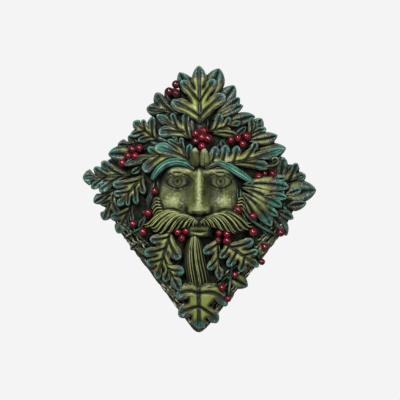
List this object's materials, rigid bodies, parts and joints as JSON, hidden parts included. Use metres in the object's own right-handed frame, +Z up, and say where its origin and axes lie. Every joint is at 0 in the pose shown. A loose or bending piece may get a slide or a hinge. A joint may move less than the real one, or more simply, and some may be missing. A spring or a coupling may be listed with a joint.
{
  "type": "green man wall plaque",
  "caption": "Rhombic cast wall plaque in high relief: a moustached leafy face wreathed in lobed oak leaves with red berries, flat back with a hanging keyhole.",
  "frame": {"origin": "on the wall plane, in the middle of the plaque's flat back", "axes": "+Z up along the face, -Y out of the wall towards the viewer, +X to the viewer's right"},
  "size_m": [0.2621, 0.0575, 0.3],
  "materials": {
    "painted_cast_resin": "hand painted in greens over cast stone-filled resin, dark wash in the recesses, satin varnish"
  },
  "bodies": {
    "root": {"green_man_plaque": "painted_cast_resin"}
  },
  "joints": []
}
